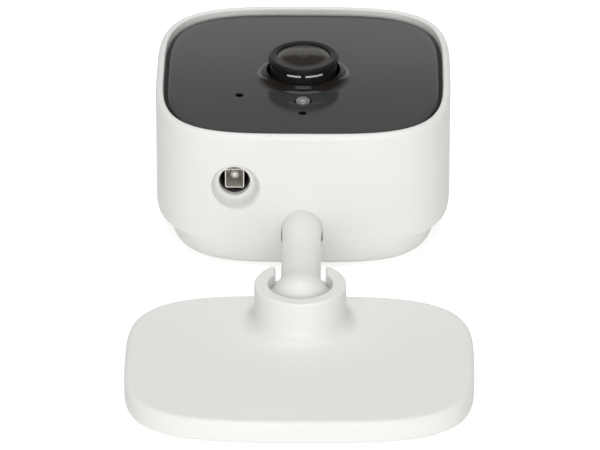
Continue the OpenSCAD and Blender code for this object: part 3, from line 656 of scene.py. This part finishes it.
# a boss inside the wall makes room for the power inlet, then the notch and the dish are cut
jack_low, jack_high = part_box("dc_jack_contacts")
inlet = ((jack_low.x + jack_high.x) / 2, shell_low.y, (jack_low.z + jack_high.z) / 2)
boss_r, boss_start, boss_deep = 6 * mm, 1.9 * mm, 2.6 * mm
merge_in(shell, bar("boss", boss_r, 64, (inlet[0], inlet[1] + boss_start, inlet[2]), boss_deep), "UNION")
merge_in(shell, bar("notch", arch_r, 64, (0, shell_low.y - 1 * mm, ball_z), 4.6 * mm, ball_z),
         "DIFFERENCE")
dish = [(axis, 8), (3.1, 8), (3.1, 3.4), (3.13, 3.2), (3.22, 3.08), (3.4, 2.98), (3.7, 2.8), (4.0, 2.48),
        (4.3, 1.98), (4.52, 1.42), (4.68, 0.95), (4.82, 0.6), (5.05, 0.3), (5.35, 0.04), (5.8, -0.25),
        (5.8, -2), (axis, -2)]
bowl = turned("bowl", in_mm(dish), inlet, 64)
close_poles(inlet)
lay_back(inlet)
finish_mesh(bowl)
merge_in(shell, bowl, "DIFFERENCE")

button_low, button_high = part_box("reset_button")
button_at = (0, (button_low.y + button_high.y) / 2, (button_low.z + button_high.z) / 2)
button_r = 1.5 * mm
pocket = [(axis, 20), (2.6, 20), (2.6, 27.4), (1.55, 27.4), (1.55, 34), (axis, 34)]


def lay_right(centre):
    """Turns the piece in hand so that its axis runs towards the head's right side."""
    bpy.ops.mesh.select_all(action="SELECT")
    bpy.ops.transform.rotate(value=-math.pi / 2, orient_axis="Y", center_override=centre)


well = turned("well", in_mm(pocket), button_at, 32)
close_poles(button_at)
lay_right(button_at)
finish_mesh(well)
merge_in(shell, well, "DIFFERENCE")

card_low, card_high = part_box("card_socket")
card_y = (card_low.y + card_high.y) / 2
card_z = card_low.z + 0.9 * mm
card_slot_long = 12 * mm


def block(name, size, centre):
    """Starts a piece as a box of a size at its place, in edit mode."""
    bpy.ops.object.select_all(action="DESELECT")
    bpy.ops.mesh.primitive_cube_add(size=1, location=(0, 0, 0))
    piece = bpy.context.object
    piece.name = piece.data.name = name
    bpy.ops.object.mode_set(mode="EDIT")
    bpy.ops.transform.resize(value=size)
    bpy.ops.transform.translate(value=centre)
    return piece


slot_tool = block("slot_tool", (10 * mm, card_slot_long, 1.2 * mm), (head_w / 2, card_y, card_z))
pick_edges(lambda co: abs(abs(co.y - card_y) - card_slot_long / 2) < 1e-6)
bpy.ops.mesh.bevel(offset=0.45 * mm, segments=4, affect="EDGES")
finish_mesh(slot_tool)
merge_in(shell, slot_tool, "DIFFERENCE")
fit(shell, "head", "white_shell", white_plastic, "front_shell")

# ---- Boards and parts inside the head ----
# Two green boards, the upper one with the infra-red lamps, the lower one with the chips,
# the radio, the speaker's leads and the card socket; they show only through openings.

board_mask = moulding("board_mask", (0.012, 0.09, 0.045), (0.02, 0.12, 0.06), 0.3, 0.06, 6000.0,
                      4e-6, 300.0)
chip_epoxy = moulding("chip_epoxy", (0.012, 0.012, 0.013), (0.02, 0.02, 0.021), 0.55, 0.06, 9000.0,
                      4e-6, 500.0)
pale_ceramic = moulding("pale_ceramic", (0.62, 0.58, 0.45), (0.7, 0.67, 0.55), 0.45, 0.06, 6000.0,
                        3e-6, 500.0)
plain_aluminium = moulding("plain_aluminium", (0.6, 0.61, 0.63), (0.5, 0.51, 0.53), 0.38, 0.08, 4000.0,
                           5e-6, 400.0, Metallic=1.0)
thermal_gum = moulding("thermal_gum", (0.26, 0.36, 0.5), (0.3, 0.4, 0.54), 0.8, 0.05, 5000.0, 8e-6, 400.0)
lead_sleeve = moulding("lead_sleeve", (0.015, 0.015, 0.015), (0.03, 0.03, 0.03), 0.4, 0.06, 5000.0,
                       3e-6, 400.0)
enamelled_wire = moulding("enamelled_wire", (0.45, 0.16, 0.06), (0.55, 0.22, 0.08), 0.3, 0.08, 7000.0,
                          1e-5, 900.0, Metallic=1.0)
black_plastic = moulding("black_plastic", (0.012, 0.012, 0.0125), (0.02, 0.02, 0.02), 0.5, 0.06, 5000.0,
                         4e-6, 200.0)
dress(board_mask, "main_board", "led_board")
dress(chip_epoxy, "image_sensor", "processor", "memory_chips")
dress(pale_ceramic, "ir_leds", "status_led", "microphone", "board_ribbon")
dress(plain_aluminium, "heat_spreader", "wifi_module")
dress(thermal_gum, "thermal_pad")
dress(lead_sleeve, "antenna_cable", "speaker_lead")
dress(enamelled_wire, "ir_cut_coil")
dress(black_plastic, "lens_holder", "ir_cut_housing", "ir_filter_carrier", "dc_jack", "reset_switch",
      "speaker", "antenna")
dress(pad_rubber, "mic_boot", "speaker_gasket", "panel_tape")
dress(zinc_steel, "board_screws", "led_board_screws", "card_socket")

# ---- Lens ----
# A black threaded metal barrel that stands through the front: a satin front ring with a
# chamfer, a narrower neck with a groove behind it, and a coated front glass set inside.

lens_low, lens_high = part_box("lens_barrel")
lens_y = (lens_low.y + lens_high.y) / 2
lens_top = lens_high.z
lens_r = (lens_high.x - lens_low.x) / 2
window_r = 5.4 * mm
glass_seat = lens_top - 2.6 * mm
lens_centre = (0, lens_y, 0)

black_metal = moulding("black_metal", (0.009, 0.009, 0.0095), (0.014, 0.014, 0.0145), 0.32, 0.05, 7000.0,
                       3e-6, 400.0, IOR=1.25)
neck_in = lens_r - 0.35 * mm
groove_r = neck_in - 0.12 * mm
thread_r, thread_top = 5.95 * mm, 24.6 * mm
lens_bore_r = 4.4 * mm
profile = [(lens_bore_r, lens_low.z), (thread_r, lens_low.z), (thread_r, thread_top), (neck_in, thread_top),
           (neck_in, lens_top - 2.1 * mm), (groove_r, lens_top - 2.0 * mm),
           (groove_r, lens_top - 1.35 * mm), (neck_in, lens_top - 1.25 * mm), (neck_in, lens_top - 1.08 * mm),
           (lens_r - 0.08 * mm, lens_top - 1 * mm), (lens_r, lens_top - 0.93 * mm),
           (lens_r, lens_top - 0.5 * mm), (lens_r - 0.06 * mm, lens_top - 0.4 * mm),
           (lens_r - 0.42 * mm, lens_top - 0.05 * mm), (lens_r - 0.52 * mm, lens_top), (5.6 * mm, lens_top),
           (5.45 * mm, lens_top - 0.06 * mm), (window_r, lens_top - 0.15 * mm), (window_r, glass_seat),
           (lens_bore_r, glass_seat), (lens_bore_r, lens_low.z)]
barrel = turned("lens_barrel_turned", profile, lens_centre, 128)
finish_mesh(barrel, 25)
fit(barrel, "head", "black_metal", black_metal, "lens_barrel")
dress(black_metal, "lens_spacers")

# a pale colour for the two painted highlights in the lens groove
painted_groove_glint = moulding("painted_groove_glint", (0.62, 0.62, 0.62), (0.7, 0.7, 0.7), 0.5, 0.05, 6000.0, 2e-6, 900.0)

# two short pale marks in the groove, on the side towards the base: painted highlights standing for the
# softbox's reflection in the groove
glint_rise = 0.42 * mm
for number, (first, last) in enumerate(((-3.3 * mm, -0.35 * mm), (0.45 * mm, 3.9 * mm))):
    glint_mark = begin("lens_groove_glint_%d" % (number + 1), 360, groove_r, (0, lens_y, lens_top - 1.9 * mm))
    bpy.ops.mesh.select_all(action="DESELECT")
    for v in bmesh.from_edit_mesh(glint_mark.data).verts:
        v.select_set(v.co.y > lens_y or not first < v.co.x < last)
    bpy.ops.mesh.delete(type="VERT")
    bpy.ops.mesh.select_all(action="SELECT")
    bpy.ops.mesh.extrude_region_move(TRANSFORM_OT_translate={"value": (0, 0, glint_rise)})
    finish_mesh(glint_mark)
    wall = glint_mark.modifiers.new("wall", "SOLIDIFY")
    wall.thickness = 0.04 * mm
    wall.offset = 0
    bpy.ops.object.modifier_apply(modifier="wall")
    fit(glint_mark, "head", "pale_ceramic", painted_groove_glint)

glass_r = window_r - 0.05 * mm
glass_sphere = 40 * mm
glass_top = lens_top - 0.04 * mm
profile = [(tiny, glass_seat), (glass_r, glass_seat)]
profile += [(max(glass_r * (1 - k / 14), tiny),
             glass_top - glass_sphere + math.sqrt(glass_sphere ** 2 - (glass_r * (1 - k / 14)) ** 2))
            for k in range(15)]
glass = turned("lens_front_glass", profile, lens_centre, 96)
close_poles(lens_centre)
finish_mesh(glass, 50)
coated_glass = bpy.data.materials.new("coated_glass")
tree = empty_tree(coated_glass)
film = put(tree, "ShaderNodeGroup", node_tree=fine_grain)
film.inputs["Patches per Metre"].default_value = 90.0
place = put(tree, "ShaderNodeTexCoord")
flat = put(tree, "ShaderNodeMapping")
flat.inputs["Location"].default_value = (0, -lens_y / window_r, 0)
flat.inputs["Scale"].default_value = (1 / window_r, 1 / window_r, 0)
reach = put(tree, "ShaderNodeVectorMath", operation="LENGTH")
# this ramp paints highlights into the glass colour: a glint at the centre and a pale ring standing for the
# lit inner iris seen through the glass; it also grows a little lighter towards the rim
painted_glint_ramp = put(tree, "ShaderNodeValToRGB")
for spot, value in ((0.0, 0.5), (0.05, 0.0), (0.11, 0.0), (0.145, 0.6), (0.19, 0.05), (0.3, 0.0),
                    (0.75, 0.05), (1.0, 0.12)):
    stop = painted_glint_ramp.color_ramp.elements.new(spot)
    stop.color = (value, value, value, 1)
painted_glint_ramp.color_ramp.elements.remove(painted_glint_ramp.color_ramp.elements[-1])
tint = put(tree, "ShaderNodeMix", data_type="RGBA")
tint.inputs[6].default_value = (0.018, 0.0135, 0.01, 1)
tint.inputs[7].default_value = (0.11, 0.1, 0.09, 1)
gloss = put(tree, "ShaderNodeMapRange")
gloss.inputs["To Min"].default_value = 0.07
gloss.inputs["To Max"].default_value = 0.12
body = put(tree, "ShaderNodeBsdfPrincipled", IOR=1.2)
end = put(tree, "ShaderNodeOutputMaterial")
tree.links.new(place.outputs["Object"], flat.inputs["Vector"])
tree.links.new(flat.outputs[0], reach.inputs[0])
tree.links.new(reach.outputs["Value"], painted_glint_ramp.inputs[0])
tree.links.new(painted_glint_ramp.outputs[0], tint.inputs[0])
tree.links.new(film.outputs["Patches"], gloss.inputs["Value"])
tree.links.new(gloss.outputs[0], body.inputs["Roughness"])
tree.links.new(tint.outputs[2], body.inputs["Base Color"])
tree.links.new(body.outputs[0], end.inputs["Surface"])
fit(glass, "head", "coated_glass", coated_glass, "front_lens")
dress(coated_glass, "inner_lenses", "ir_filter_glass")

# ---- Front panel ----
# A polished smoked plastic panel inside the rim; it rises in a flare round the lens, and
# has round holes for the light sensor, the status light and the microphone.

panel_low, panel_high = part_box("front_panel")
panel_w = panel_high.x - panel_low.x
panel_h = panel_high.y - panel_low.y
panel_z = shell_high.z - 1.1 * mm
panel_flat = 2 * mm
flare_r = 9.6 * mm
flare_foot_r = flare_r + 0.4 * mm
flare_top = panel_high.z
bore_r = lens_r + 0.35 * mm
lip_r = bore_r + 0.15 * mm
lip_edge, lip_drop = 0.04 * mm, 0.06 * mm
panel_points = 192

panel = begin("front_panel_smoked", panel_points, panel_w / 2, (0, head_y, panel_low.z))
square_off(panel_w, panel_h, head_squareness)
for inset, drop in ((0.0, 0.7), (0.03, 0.6), (0.1, 0.52), (0.22, 0.44), (0.74, 0.13), (0.86, 0.05),
                    (1.0, 0.012), (1.15, 0.0)):
    draw_ring(panel_w - 2 * inset * mm, panel_h - 2 * inset * mm, panel_z - drop * mm)
draw_ring(panel_w - 2 * panel_flat, panel_h - 2 * panel_flat, panel_z)
add_circle(panel_points, flare_foot_r, (0, lens_y, panel_z))
for r in (flare_r + 0.2 * mm, flare_r):
    draw_ring(2 * r, 2 * r, panel_z)
for k in range(1, 17):
    turn = math.pi / 2 * k / 16
    r = flare_r - (flare_r - lip_r) * math.sin(turn)
    draw_ring(2 * r, 2 * r, panel_z + (flare_top - lip_drop - panel_z) * (1 - math.cos(turn)))
draw_ring(2 * lip_r - 2 * lip_edge, 2 * lip_r - 2 * lip_edge, flare_top)
draw_ring(2 * bore_r + 2 * lip_edge, 2 * bore_r + 2 * lip_edge, flare_top)
draw_ring(2 * bore_r, 2 * bore_r, flare_top - lip_drop)
draw_ring(2 * bore_r, 2 * bore_r, panel_low.z)
for height, inset, radius in ((panel_z, panel_flat, flare_foot_r), (panel_low.z, 0, bore_r)):
    pick_edges(lambda co: abs(co.z - height) < 1e-7 and (
        on_outline(co, panel_w - 2 * inset, panel_h - 2 * inset, head_squareness, head_y)
        or on_circle(co, radius, lens_y)))
    bpy.ops.mesh.bridge_edge_loops()
finish_mesh(panel)

sensor_low, sensor_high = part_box("light_sensor")
pipe_low, pipe_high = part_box("light_pipe")
mic_low, mic_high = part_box("mic_boot")
for low, high, radius in ((sensor_low, sensor_high, 1.65), (pipe_low, pipe_high, 0.75),
                          (mic_low, mic_high, 0.75)):
    spot = ((low.x + high.x) / 2, (low.y + high.y) / 2, panel_z)
    hole = [(axis, -4), (radius, -4), (radius, -0.12), (radius + 0.12, 0.0), (radius + 0.12, 1), (axis, 1)]
    drill = turned("drill", in_mm(hole), spot, 48)
    close_poles(spot)
    finish_mesh(drill)
    merge_in(panel, drill, "DIFFERENCE")
smoked_panel = moulding("smoked_panel", (0.04, 0.042, 0.043), (0.047, 0.048, 0.0485), 0.12, 0.02, 900.0,
                        4e-7, 40.0, IOR=1.3)
# where the panel's surface tilts away from flat (at its rolled edge, on the flare and round the holes), its
# colour is darkened towards a dark brown: a painted dark reflection
tree = smoked_panel.node_tree
slope = put(tree, "ShaderNodeNewGeometry")
upward = put(tree, "ShaderNodeSeparateXYZ")
painted_edge_mask = put(tree, "ShaderNodeMapRange")
painted_edge_mask.inputs["From Min"].default_value = 0.995
painted_edge_mask.inputs["From Max"].default_value = 0.9
painted_edge_shade = put(tree, "ShaderNodeMix", data_type="RGBA")
painted_edge_shade.inputs[7].default_value = (0.012, 0.009, 0.007, 1)
for node in tree.nodes:
    if node.bl_idname == "ShaderNodeBsdfPrincipled":
        tree.links.new(node.inputs["Base Color"].links[0].from_socket, painted_edge_shade.inputs[6])
        tree.links.new(painted_edge_shade.outputs[2], node.inputs["Base Color"])
tree.links.new(slope.outputs["Normal"], upward.inputs[0])
tree.links.new(upward.outputs["Z"], painted_edge_mask.inputs["Value"])
tree.links.new(painted_edge_mask.outputs[0], painted_edge_shade.inputs[0])
fit(panel, "head", "smoked_panel", smoked_panel, "front_panel")

# ---- Light sensor and status light ----
# A clear plastic dome over the light sensor, standing a little proud of the panel, and a
# light pipe that ends just below its pinhole.

dome_r = (sensor_high.x - sensor_low.x) / 2
dome_rise = 0.85 * mm
dome_at = (0, (sensor_low.y + sensor_high.y) / 2, 0)
profile = [(tiny, sensor_low.z), (dome_r, sensor_low.z)]
profile += [(max(dome_r * math.cos(math.pi / 2 * k / 14), tiny),
             panel_z + 0.05 * mm + dome_rise * math.sin(math.pi / 2 * k / 14)) for k in range(15)]
dome = turned("light_sensor_dome", profile, dome_at, 48)
close_poles(dome_at)
finish_mesh(dome, 50)
clear_lens = bpy.data.materials.new("clear_lens")
tree = empty_tree(clear_lens)
film = put(tree, "ShaderNodeGroup", node_tree=fine_grain)
film.inputs["Patches per Metre"].default_value = 500.0
tint = put(tree, "ShaderNodeMix", data_type="RGBA")
tint.inputs[6].default_value = (0.13, 0.135, 0.14, 1)
tint.inputs[7].default_value = (0.3, 0.305, 0.31, 1)
body = put(tree, "ShaderNodeBsdfPrincipled", Roughness=0.08, IOR=1.5)
end = put(tree, "ShaderNodeOutputMaterial")
tree.links.new(film.outputs["Patches"], tint.inputs[0])
tree.links.new(tint.outputs[2], body.inputs["Base Color"])
tree.links.new(body.outputs[0], end.inputs["Surface"])
fit(dome, "head", "clear_lens", clear_lens, "light_sensor")
# the light pipe is coloured near black, with little shine: painted shade, so that its hole in the panel reads
# dark
pipe_painted_shade = moulding("pipe_painted_shade", (0.003, 0.003, 0.003), (0.006, 0.006, 0.006), 0.6, 0.05, 6000.0,
                     2e-6, 400.0, IOR=1.1)
dress(pipe_painted_shade, "light_pipe")

# ---- Power inlet ----
# A barrel jack behind the dish: a bright folded steel box in a black housing, with a
# round-ended centre pin.

plated_contacts = moulding("plated_contacts", (0.8, 0.78, 0.74), (0.66, 0.64, 0.6), 0.5, 0.1, 6000.0, 6e-6,
                           700.0, Metallic=0.6)
sleeve_w, sleeve_h, sleeve_long = 3.8 * mm, 4.2 * mm, 7.2 * mm
sleeve_front = inlet[1] + 4.1 * mm
sleeve_sheet = 0.2 * mm
sleeve_back = 0.3 * mm
sleeve = block("jack_sleeve", (sleeve_w, sleeve_long, sleeve_h),
               (inlet[0], sleeve_front + sleeve_long / 2, inlet[2] + 0.2 * mm))
bpy.ops.mesh.select_mode(type="EDGE")
bpy.ops.mesh.select_all(action="DESELECT")
for edge in bmesh.from_edit_mesh(sleeve.data).edges:
    along = edge.verts[0].co - edge.verts[1].co
    edge.select_set(abs(along.y) > sleeve_long / 2)
bmesh.update_edit_mesh(sleeve.data)
bpy.ops.mesh.bevel(offset=0.35 * mm, segments=4, affect="EDGES")
bpy.ops.mesh.select_mode(type="FACE")
bpy.ops.mesh.select_all(action="DESELECT")
for face in bmesh.from_edit_mesh(sleeve.data).faces:
    face.select_set(all(abs(v.co.y - sleeve_front) < 1e-7 for v in face.verts))
bmesh.update_edit_mesh(sleeve.data)
bpy.ops.mesh.inset(thickness=sleeve_sheet)
bpy.ops.mesh.extrude_region_move(TRANSFORM_OT_translate={"value": (0, sleeve_long - sleeve_back, 0)})
finish_mesh(sleeve)
fit(sleeve, "head", "steel", plated_contacts, "dc_jack_contacts")

pin_r = 0.95 * mm
pin_tip, pin_end = 5.55 * mm, 11 * mm
profile = [(tiny, pin_end), (pin_r, pin_end)]
profile += [(max(pin_r * math.cos(math.pi / 2 * k / 8), tiny),
             pin_tip + pin_r - pin_r * math.sin(math.pi / 2 * k / 8)) for k in range(9)]
pin = turned("jack_pin", profile, inlet, 32)
close_poles(inlet)
lay_back(inlet)
finish_mesh(pin, 50)
fit(pin, "head", "steel", plated_contacts, "dc_jack_contacts")

# ---- Reset button ----
# A small pale push pin in the head's side, with a slightly hollow face.

collar_end = 27.35 * mm
profile = [(tiny, button_low.x), (button_r + 0.8 * mm, button_low.x), (button_r + 0.8 * mm, collar_end),
           (button_r, collar_end), (button_r, button_high.x - 0.2 * mm),
           (button_r - 0.06 * mm, button_high.x - 0.06 * mm),
           (button_r - 0.2 * mm, button_high.x), (button_r - 0.45 * mm, button_high.x - 0.03 * mm),
           (0.5 * mm, button_high.x - 0.16 * mm), (tiny, button_high.x - 0.18 * mm)]
button = turned("reset_pin", profile, button_at, 32)
close_poles(button_at)
lay_right(button_at)
finish_mesh(button)
fit(button, "reset_button", "pale_plastic", pale_plastic, "reset_button")
